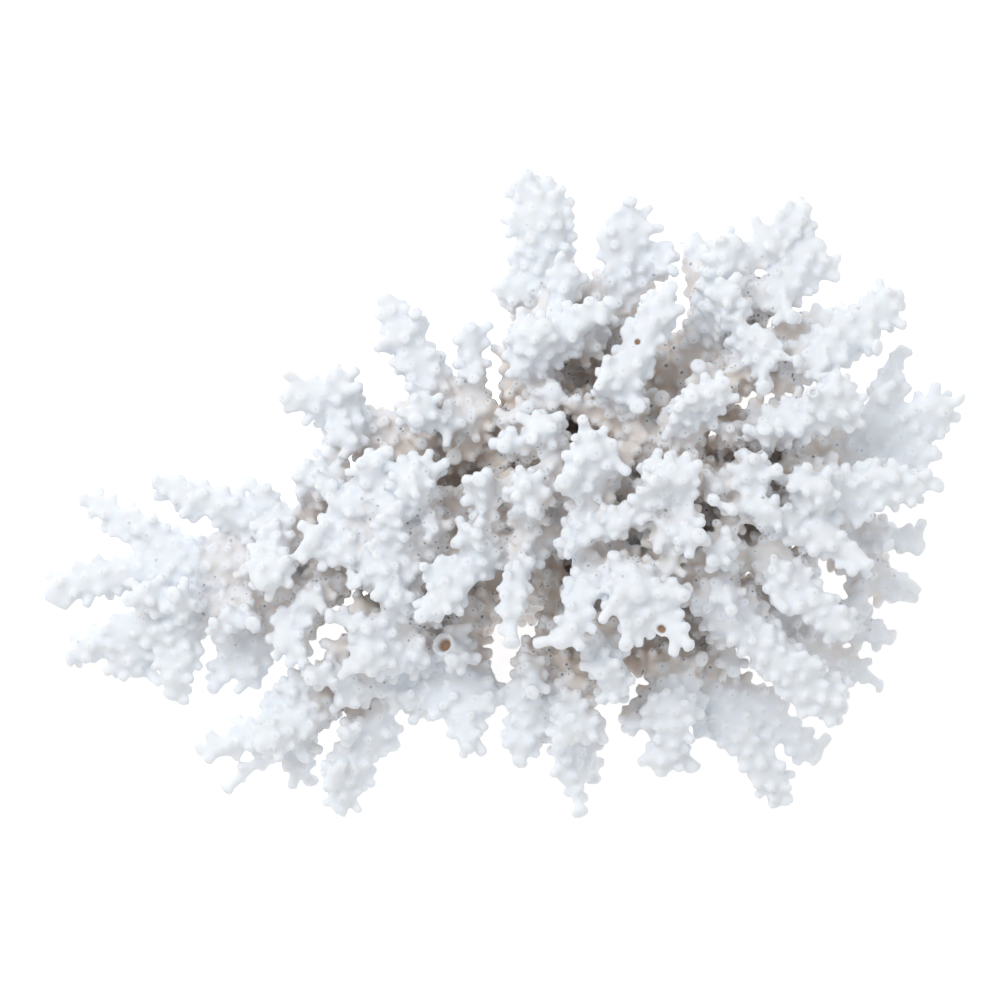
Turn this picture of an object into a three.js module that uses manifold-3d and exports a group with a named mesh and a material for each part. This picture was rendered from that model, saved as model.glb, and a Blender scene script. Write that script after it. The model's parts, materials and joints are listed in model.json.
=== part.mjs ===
// Branching coral colony, bleached white, cut off flat at the foot.
//
// Millimetres, +Z up. The colony rests on its flat cut at z = 0, and the origin is at the bottom
// centre of its bounding box. Seen from above, +X runs along the dome to the right and -X along
// the low, drawn-out lobe to the left.
//
// The foot carries short thick limbs, the limbs carry branches, and the colony is divided at these
// forks. Every branch is one solid: round-ended tapered stems joined into one, then trimmed to
// stand clear of the pieces it grows from.

import * as THREE from "three";
import { mergeVertices } from "three/addons/utils/BufferGeometryUtils.js";
import Module from "manifold-3d";

const wasm = await Module();
wasm.setup();
const { Manifold, Mesh } = wasm;

// Driving dimensions
const CLEARANCE = 0.3; // gap left between neighbouring pieces
const FOOT_CENTRE = [14, -6];
const FOOT_LENGTH = 66; // along X
const FOOT_WIDTH = 46; // along Y
const FOOT_HEIGHT = 22;
const RING_SPACING = 17; // between the rings of facets along a stem
const THICK_STEM = 4.6; // stems of a larger radius are given more facets
const SLIM_STEM = 3.3; // stems of a smaller radius are given fewer

// Surface colours: tips bleached white, the sheltered limbs and foot a warm cream
const TIP_COLOUR = 0xf4f3f1;
const LIMB_COLOUR = 0xe6dfd6;
const FOOT_COLOUR = 0xd9cfc2;

// A closed geometry as a solid. Only the positions are kept, with shared corners merged.
function solid(geometry) {
  const bare = new THREE.BufferGeometry();
  bare.setAttribute("position", geometry.getAttribute("position"));
  bare.setIndex(geometry.getIndex());
  const merged = mergeVertices(bare, 1e-3);
  const corners = merged.getIndex().array;
  const faces = [];
  for (let i = 0; i < corners.length; i += 3) {
    const [a, b, c] = corners.subarray(i, i + 3);
    if (a !== b && b !== c && c !== a) faces.push(a, b, c);
  }
  return new Manifold(
    new Mesh({
      numProp: 3,
      vertProperties: new Float32Array(merged.getAttribute("position").array),
      triVerts: new Uint32Array(faces),
    }),
  );
}

// A stem is its radius where it starts, its radius at the tip, and the points of its centre line.
function stem(startRadius, tipRadius, ...points) {
  return { startRadius, tipRadius, points };
}

function sidesOf({ startRadius }) {
  if (startRadius > THICK_STEM) return 7;
  return startRadius < SLIM_STEM ? 5 : 6;
}

// The stem as a solid, larger all round by `grow`. A lathed spindle with a flat start and a round
// tip is laid along a smooth curve: its own axis becomes the stem's centre line.
function stemSolid(shape, grow = 0) {
  const { startRadius, tipRadius, points } = shape;
  const sides = sidesOf(shape);
  const fullness = 2 / (1 + Math.cos(Math.PI / sides)); // facets straddle the true radius
  const curve = new THREE.CatmullRomCurve3(
    points.map((point) => new THREE.Vector3(...point)),
    false,
    "centripetal",
  );
  const length = curve.getLength();
  const shoulder = Math.max(length - 0.75 * tipRadius, 0.6 * length);
  const profile = [];
  const ring = (radius, station) => profile.push(new THREE.Vector2(radius * fullness, station));
  const spans = Math.max(1, Math.round(shoulder / RING_SPACING));
  profile.push(new THREE.Vector2(0, -grow));
  for (let i = 0; i <= spans; i += 1) {
    const share = i / spans;
    const station = i === 0 ? -grow : share * shoulder;
    ring(startRadius + (tipRadius - startRadius) * share + grow, station);
  }
  ring(0.62 * tipRadius + grow, length - 0.12 * tipRadius + 0.5 * grow);
  profile.push(new THREE.Vector2(0, length + 0.25 * tipRadius + grow));
  const geometry = new THREE.LatheGeometry(profile, sides);

  const chord = curve.getPointAt(1).sub(curve.getPointAt(0));
  const steepest = Math.max(Math.abs(chord.x), Math.abs(chord.y), Math.abs(chord.z));
  const reference = new THREE.Vector3(
    Math.abs(chord.y) === steepest || Math.abs(chord.z) === steepest ? 1 : 0,
    Math.abs(chord.x) === steepest ? 1 : 0,
    0,
  );
  const place = geometry.getAttribute("position");
  const across = new THREE.Vector3();
  const beside = new THREE.Vector3();
  for (let i = 0; i < place.count; i += 1) {
    const station = place.getY(i);
    const along = THREE.MathUtils.clamp(station / length, 0, 1);
    const tangent = curve.getTangentAt(along);
    const overshoot = station - along * length;
    across.crossVectors(reference, tangent).normalize();
    beside.crossVectors(across, tangent);
    const spot = curve
      .getPointAt(along)
      .addScaledVector(tangent, overshoot)
      .addScaledVector(across, place.getX(i))
      .addScaledVector(beside, place.getZ(i));
    place.setXYZ(i, spot.x, spot.y, spot.z);
  }
  return solid(geometry);
}

// The foot: a low oval stump, flat underneath where it was cut from the reef.
function footSolid(grow = 0) {
  const widest = FOOT_LENGTH / 2;
  const profile = [
    [0, -grow],
    [0.88 * widest + grow, -grow],
    [widest + grow, 0.25 * FOOT_HEIGHT],
    [0.9 * widest + grow, 0.6 * FOOT_HEIGHT],
    [0.62 * widest + grow, 0.9 * FOOT_HEIGHT + grow],
    [0, FOOT_HEIGHT + grow],
  ].map(([radius, height]) => new THREE.Vector2(radius, height));
  const geometry = new THREE.LatheGeometry(profile, 24);
  geometry.rotateX(Math.PI / 2); // the lathe's axis, y, becomes z
  geometry.scale(1, FOOT_WIDTH / FOOT_LENGTH, 1);
  geometry.translate(FOOT_CENTRE[0], FOOT_CENTRE[1], 0);
  return solid(geometry);
}

function joined(stems, grow) {
  return stems.map((shape) => stemSolid(shape, grow)).reduce((whole, part) => whole.add(part));
}

// Limbs, each from inside the foot outwards and upwards.
const limbs = {
  left_limb: [
    stem(8.5, 4.2, [0, -8, 13], [-25, -10, 28], [-48, -12, 34], [-70, -16, 35]),
  ],
  lower_left_limb: [
    stem(8, 4.8, [2, -16, 12], [-16, -28, 24], [-34, -40, 29]),
  ],
  upper_left_limb: [
    stem(7.5, 4.4, [2, 2, 13], [-10, 11, 28], [-24, 14, 37], [-38, 16, 40]),
  ],
  back_limb: [
    stem(8, 5, [10, 6, 12], [10, 22, 28], [10, 38, 38], [10, 50, 42]),
  ],
  upper_right_limb: [
    stem(8, 4.6, [24, 6, 13], [34, 22, 32], [46, 34, 42], [56, 44, 46]),
  ],
  right_limb: [
    stem(8.5, 5, [34, -2, 13], [52, 3, 34], [66, 7, 44], [80, 10, 46]),
  ],
  lower_right_limb: [
    stem(8, 4.8, [28, -12, 13], [44, -20, 34], [60, -31, 41]),
  ],
  front_limb: [
    stem(7.5, 4.2, [18, -14, 12], [18, -28, 28], [16, -42, 37]),
    stem(5, 4, [20, -24, 24], [32, -34, 36], [43, -40, 42]),
  ],
  crown_limb: [
    stem(9, 6, [18, -4, 14], [20, -4, 36], [22, -2, 56]),
    stem(6, 5, [26, -4, 24], [40, -2, 46], [50, 0, 56]),
    stem(6, 4.6, [10, -6, 22], [-4, -6, 42], [-18, -4, 48]),
  ],
};

// Branches, named by where they stand on the colony when it is looked down on.
const branches = {
  far_left_branch: [
    stem(3.8, 3, [-68, -15, 36], [-87, -18, 34], [-103.5, -21.3, 31]),
    stem(3.2, 2.3, [-71, -13, 36], [-82, -6, 34], [-94.5, -0.8, 31]),
  ],
  upper_left_edge_branch: [
    stem(3.4, 2.8, [-51, -9, 38], [-60, -3, 41], [-77, 2.6, 38]),
    stem(2.8, 2.3, [-53, -8, 38], [-53.8, 2.6, 42]),
  ],
  left_crest_branch: [
    stem(4, 3.7, [-49.5, -4, 39], [-50.5, -12, 50], [-52.4, -20.5, 55]),
  ],
  left_fan_branch: [
    stem(4.6, 3.4, [-44, -13, 33], [-60, -23, 33], [-76, -29, 33]),
    stem(3.2, 2.5, [-71, -24, 35], [-76, -24, 42], [-82.8, -21.3, 44]),
    stem(2.6, 2.2, [-73, -28, 35], [-71.4, -22.2, 47]),
    stem(3.8, 2.7, [-72, -27, 34], [-85, -31, 32], [-97.2, -35, 29]),
    stem(3.4, 2.9, [-78, -29, 32], [-84, -35, 30], [-88.6, -40, 28]),
    stem(3.6, 3.6, [-72, -29, 33], [-74.5, -37, 34], [-74, -43.8, 32]),
    stem(2.8, 2.3, [-58, -24, 33], [-61, -35, 30], [-64.6, -42.4, 28]),
    stem(3, 2.7, [-51, -19, 33], [-55, -34, 32], [-58.4, -43, 30]),
    stem(2.6, 2.3, [-60, -24, 35], [-63, -30.6, 46]),
  ],
  left_fork_branch: [
    stem(4, 3.8, [-37, -16, 35], [-44, -27, 45], [-50, -34.4, 49]),
    stem(3.4, 3, [-34, -13, 37], [-40, -20, 45], [-44, -24.6, 51]),
  ],
  lower_left_tip_branch: [
    stem(4.6, 3.8, [-30, -38, 28], [-38, -44, 29], [-46, -51, 30]),
    stem(4.2, 3.8, [-38, -44, 32], [-47, -51, 40], [-54.4, -57.2, 41]),
    stem(3, 2.4, [-45, -51, 29], [-56, -57.4, 27], [-67.6, -58, 26]),
    stem(2.7, 2.4, [-45, -52, 28], [-47, -60, 26], [-46, -64.6, 24]),
    stem(3.2, 2.9, [-42, -47, 32], [-52.6, -46, 36]),
    stem(2.9, 2.6, [-37, -42, 31], [-43, -43, 38], [-49, -43.6, 41]),
  ],
  lower_left_drooping_branch: [
    stem(4, 3.3, [-27, -40, 29], [-30.5, -54, 33], [-34.6, -63, 33], [-35.8, -70.4, 31]),
    stem(2.6, 2.3, [-34, -60, 33], [-39.4, -66.2, 38]),
  ],
  lower_left_crown_branch: [
    stem(4.8, 3.8, [-14, -30, 26], [-20, -36, 44], [-27, -37, 51], [-32.6, -34.8, 54]),
    stem(3.6, 3, [-20, -37, 36], [-30, -44, 42], [-37, -45.4, 41]),
    stem(2.8, 2.3, [-21, -39, 36], [-24.4, -48, 40]),
    stem(3.6, 3, [-16, -31, 30], [-26, -27, 42], [-33, -25.4, 46]),
    stem(3.4, 2.8, [-14, -29, 30], [-17, -23, 43], [-23, -20.6, 48]),
  ],
  lower_left_inner_branch: [
    stem(4.4, 3.2, [-6, -26, 26], [-14, -36, 40], [-7.6, -35.6, 50]),
    stem(3.4, 2.8, [-11, -34, 34], [-10.4, -45, 43], [-6.2, -57.4, 44]),
    stem(3.4, 2.8, [-9, -34, 34], [-3.4, -41, 40], [-1.6, -48, 41]),
    stem(3.4, 2.8, [-13, -36, 36], [-17.6, -44, 38], [-18.6, -49.6, 37]),
  ],
  left_crown_branch: [
    stem(3.8, 3.3, [-12, -9, 48], [-22, -14, 55], [-30, -17, 57]),
  ],
  middle_left_crest_branch: [
    stem(4.4, 3.5, [-1, -8, 44], [-5, -14, 60], [-15.8, -25.6, 65]),
    stem(3, 2.4, [-1.5, -10, 50], [-2, -2, 64], [-5.2, 5, 68]),
    stem(2.8, 2.4, [-3, -12, 54], [-8.4, -7.4, 66]),
  ],
  left_finger_branch: [
    stem(3.6, 2.9, [-25, -4, 45], [-28.4, 3, 56], [-30.4, 9.2, 60]),
    stem(3.4, 3.1, [-28, -4, 44], [-35, -1.2, 57]),
    stem(3.6, 3.3, [-27, -6, 42], [-37, -13.6, 57]),
  ],
  upper_left_low_branch: [
    stem(3.6, 2.5, [-35, -4, 33], [-41, 2, 44], [-45, 5.2, 47]),
    stem(2.6, 2.2, [-38, -1, 38], [-39.2, 11.4, 43]),
    stem(2.6, 2.3, [-36, -2, 36], [-35.6, 6.6, 48]),
  ],
  upper_left_outer_branch: [
    stem(4, 3.5, [-30, 15, 38], [-37, 19.6, 46], [-44.6, 24, 47]),
    stem(3, 2.7, [-33, 17, 41], [-37.2, 29, 50]),
    stem(3.2, 2.9, [-31, 14, 38], [-35.6, 14.4, 50]),
  ],
  upper_left_rising_branch: [
    stem(4.2, 3.3, [-9, 12, 30], [-16, 27, 45], [-22, 38, 48], [-25.8, 45.2, 46]),
  ],
  left_shoulder_branch: [
    stem(3.8, 3.2, [-4, 10, 30], [-10, 20, 54], [-21.6, 17.8, 57]),
    stem(3.4, 2.2, [-3, 9, 27], [-6.4, 26, 48], [-7, 39, 52]),
  ],
  left_summit_branch: [
    stem(4.4, 3.6, [-17, -3, 48], [-20, 4.6, 66]),
  ],
  middle_branch: [
    stem(4, 3.6, [10, -5, 44], [5.6, -2, 66], [7, 4.4, 74]),
    stem(3.2, 1.5, [8, -8, 50], [4, -17, 66], [2, -26, 70], [2.4, -33, 71]),
  ],
  middle_starburst_branch: [
    stem(4.6, 3.4, [10, 6, 26], [10.4, 11, 58], [10.2, 17, 71]),
    stem(2.6, 2, [5, 8, 30], [1.6, 17.8, 56]),
  ],
  summit_branch: [
    stem(4.6, 4, [20, 0, 54], [20, 3.4, 73], [20, 14, 78]),
  ],
  right_summit_branch: [
    stem(5, 4.3, [32, -4, 42], [35, -2, 72], [40.4, 7.4, 80]),
    stem(4, 3.4, [34, -6, 60], [37, -10.4, 76], [44, -7.8, 80]),
  ],
  front_summit_branch: [
    stem(5.2, 4.6, [24, -10, 40], [28, -17, 66], [31, -21, 79]),
    stem(3.6, 2.9, [24.6, -14, 60], [18.6, -21, 72], [14.6, -33, 75]),
    stem(2.6, 2.3, [32, -20.6, 74], [42.4, -21.6, 78]),
    stem(2.8, 2.4, [31, -22, 72], [41.2, -31.6, 75]),
    stem(3.4, 2.9, [22, -11, 56], [15.4, -9, 72]),
  ],
  front_branch: [
    stem(4.2, 3.8, [15, -38, 36], [16.6, -47, 50], [17, -53, 54]),
    stem(2.9, 2.2, [15, -46, 42], [15.4, -60, 38], [14.2, -65, 36]),
    stem(3, 2.1, [17, -44, 38], [19, -56, 32], [21.6, -65, 28]),
  ],
  front_left_branch: [
    stem(4.2, 3.5, [12, -33, 31], [6.6, -44, 42], [4.6, -59, 39]),
    stem(2.6, 2, [9, -37, 36], [7, -38, 52]),
  ],
  front_inner_branch: [
    stem(3.6, 2.9, [22, -26, 32], [25.4, -36, 62], [21.6, -39.8, 67]),
  ],
  front_right_branch: [
    stem(4.4, 2.7, [41, -36, 42], [41.4, -45, 52], [38.6, -54, 49], [36.2, -62.4, 45]),
    stem(3.6, 2.8, [41, -40, 47], [33, -46, 47], [29.4, -52, 45]),
  ],
  lower_right_branch: [
    stem(4.8, 4, [41, -14, 52], [51, -26, 62], [65, -38, 60], [77, -47.6, 55]),
    stem(3.2, 2.8, [46, -14, 54], [51, -22.6, 70]),
  ],
  lower_right_drooping_branch: [
    stem(4.4, 3, [42, -30, 32], [48, -46, 43], [57, -57, 41], [64, -67, 37]),
    stem(3.6, 2.5, [46, -39, 39], [58, -46, 41], [66, -53, 39], [72, -59.8, 35]),
  ],
  lower_right_low_branch: [
    stem(4.6, 3.6, [56, -28, 39], [64, -27, 43], [71, -24, 45]),
    stem(3.4, 2.9, [68, -25, 44], [80, -27.4, 45], [86, -31.6, 42]),
    stem(3.4, 2.4, [62, -28, 42], [74, -36, 42], [83.4, -39.8, 39]),
  ],
  right_fore_branch: [
    stem(4.6, 3.5, [51, -8, 50], [59, -13.4, 62], [68, -22, 65], [78, -30.6, 62]),
  ],
  right_low_branch: [
    stem(4.2, 3.2, [70, -2, 44], [82, -13, 43], [90.6, -23, 40]),
    stem(3.2, 2.4, [73, -3, 45], [86, -7.4, 46], [95.8, -11.4, 44]),
  ],
  right_crest_branch: [
    stem(4.2, 3.6, [60, 0, 44], [70, -3, 66], [71.2, 4, 74]),
    stem(3.8, 3.5, [66, -2, 60], [73.4, -11, 69]),
    stem(2.8, 2.3, [72.6, -8, 66], [81.8, -15.2, 66]),
  ],
  right_starburst_branch: [
    stem(4.2, 3.6, [50, 1, 48], [56.6, 4, 73]),
  ],
  right_branch: [
    stem(4.8, 3.8, [66, 4, 50], [77, 1.6, 60], [88, 2.4, 62], [94.4, 3, 59]),
  ],
  right_edge_branch: [
    stem(3.8, 3.5, [77, 11, 46], [90, 17.6, 47], [102, 21, 44]),
    stem(3, 2.3, [80, 9, 46], [89, 10.8, 48], [97.8, 8.4, 46]),
    stem(3.4, 2.7, [79, 12, 46], [86, 19, 50], [89.4, 26.6, 47]),
  ],
  upper_right_crest_branch: [
    stem(4.4, 3.7, [54, 12, 46], [63, 16.6, 66], [74, 19.6, 69], [80, 21, 65]),
    stem(3.8, 3.6, [73, 19, 67], [77.4, 26.2, 67]),
  ],
  upper_right_branch: [
    stem(4.4, 3.4, [58, 28, 46], [69, 30, 57], [81, 38, 58], [89.6, 46, 54]),
    stem(3, 2.3, [56, 32, 44], [67, 38.4, 50], [77.4, 41.8, 47]),
    stem(4.4, 3.9, [53, 28, 42], [59.4, 34.6, 64]),
  ],
  middle_right_branch: [
    stem(4.8, 4, [38, 12, 40], [41.4, 15, 70], [49, 25.2, 73]),
  ],
  upper_middle_branch: [
    stem(4.6, 3.4, [28, 12, 34], [27.4, 22, 64], [29, 32, 67], [37, 44.4, 61]),
  ],
  upper_crown_branch: [
    stem(4.8, 4, [9, 24, 34], [8, 33, 56], [8.2, 38, 64]),
    stem(3.4, 2.7, [9.6, 32, 52], [16.4, 38, 61], [22.6, 43.2, 63]),
    stem(3, 2.4, [9.4, 30, 47], [13, 43, 52], [17.2, 52, 55]),
  ],
  back_column_branch: [
    stem(5, 5.4, [10.6, 47, 42], [10.2, 60, 46], [8.6, 68.6, 46]),
    stem(2.6, 2.3, [8, 68, 45], [2.4, 71.4, 47]),
    stem(2.6, 2.3, [8.2, 68, 45], [13, 71.6, 45]),
    stem(3.2, 2.5, [9, 48, 42], [-1.4, 46.6, 45]),
  ],
  back_branch: [
    stem(4.6, 3.4, [22, 32, 30], [26.6, 48, 45], [30.4, 65, 46]),
    stem(3.6, 3, [25, 43, 41], [34, 49, 43], [38, 57.6, 42]),
  ],
  back_right_branch: [
    stem(4.4, 3.4, [49, 38, 43], [50.6, 52, 53], [51.6, 59, 55]),
    stem(3.2, 2.4, [50.6, 50, 50], [60, 58.2, 53], [70, 65, 51]),
    stem(4, 3.2, [49.4, 37, 44], [51.2, 42, 58], [51, 48, 61]),
    stem(3.6, 2.6, [48, 40, 42], [44.6, 50, 39], [44, 60, 36]),
  ],
  back_right_edge_branch: [
    stem(4.2, 3.4, [54, 42, 45], [64, 47, 53], [72, 58, 49]),
  ],
};

const group = new THREE.Group();
const finished = []; // each piece's solid grown by the clearance, which later pieces are cut by

function addPiece(name, colour, whole, grown) {
  let piece = whole;
  for (const neighbour of finished) piece = piece.subtract(neighbour);
  // What a neighbour cuts loose is dropped, so that a piece stays one body.
  const bodies = piece.decompose().sort((a, b) => b.volume() - a.volume());
  const mesh = bodies[0].getMesh();
  const geometry = new THREE.BufferGeometry();
  geometry.setAttribute("position", new THREE.BufferAttribute(mesh.vertProperties, 3));
  geometry.setIndex(new THREE.BufferAttribute(mesh.triVerts, 1));
  geometry.computeVertexNormals();
  const material = new THREE.MeshStandardMaterial({ color: colour, roughness: 0.7, metalness: 0 });
  const node = new THREE.Mesh(geometry, material);
  node.name = name;
  group.add(node);
  finished.push(grown);
}

addPiece("foot", FOOT_COLOUR, footSolid(), footSolid(CLEARANCE));
for (const [name, stems] of Object.entries(limbs)) {
  addPiece(name, LIMB_COLOUR, joined(stems, 0), joined(stems, CLEARANCE));
}
for (const [name, stems] of Object.entries(branches)) {
  addPiece(name, TIP_COLOUR, joined(stems, 0), joined(stems, CLEARANCE));
}

export default group;
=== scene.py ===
"""Bleached branching coral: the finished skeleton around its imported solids.

The solids give every limb and branch its place and thickness. Here they are fused into one skin,
rounded where they fork, and set with the tube-like cups, the corallites, that the polyps built.
The skin is then shared out again, one finished piece for each solid. Lengths are in metres.
"""

import json

import bpy
import numpy as np
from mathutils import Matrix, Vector
from mathutils.bvhtree import BVHTree
from mathutils.kdtree import KDTree

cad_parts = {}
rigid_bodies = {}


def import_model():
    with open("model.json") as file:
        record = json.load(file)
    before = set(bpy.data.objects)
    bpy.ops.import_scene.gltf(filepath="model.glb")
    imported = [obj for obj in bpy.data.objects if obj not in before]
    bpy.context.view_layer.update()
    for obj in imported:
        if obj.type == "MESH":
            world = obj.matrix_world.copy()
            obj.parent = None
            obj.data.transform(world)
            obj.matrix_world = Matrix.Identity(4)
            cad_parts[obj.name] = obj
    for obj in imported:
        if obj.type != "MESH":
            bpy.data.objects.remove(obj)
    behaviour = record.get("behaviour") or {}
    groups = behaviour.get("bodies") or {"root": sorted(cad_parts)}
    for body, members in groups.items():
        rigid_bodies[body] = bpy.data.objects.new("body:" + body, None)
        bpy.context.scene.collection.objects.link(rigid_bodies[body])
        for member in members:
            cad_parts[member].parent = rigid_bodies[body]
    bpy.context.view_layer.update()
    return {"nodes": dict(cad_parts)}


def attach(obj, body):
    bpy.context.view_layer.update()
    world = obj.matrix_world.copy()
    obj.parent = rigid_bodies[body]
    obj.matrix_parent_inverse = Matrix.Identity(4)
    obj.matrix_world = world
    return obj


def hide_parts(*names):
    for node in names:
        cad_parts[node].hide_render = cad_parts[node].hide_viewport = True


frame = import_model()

bl_info = {
    "name": "Branching coral",
    "version": (1, 0, 0),
    "blender": (4, 5, 0),
    "location": "View3D > Sidebar > Coral",
    "description": "Grows the finished skeleton of a branching coral colony over its solids",
    "category": "Object",
}

MM = 0.001
FOOT = "foot"
LIMBS = sorted(node for node in frame["nodes"] if node.endswith("_limb"))
BRANCHES = sorted(node for node in frame["nodes"] if node.endswith("_branch"))
NODES = [FOOT, *LIMBS, *BRANCHES]
BODY = "root"
SEED = 7
FOOT_BAND = 1.5 * MM  # the skin this near the floor is where the colony hangs together with it
BARE_STEM = 12 * MM  # nothing sprouts this near the floor, nor ends this near the foot
TWIG_SIDES = 10
TWIG_RINGS = 9

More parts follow.
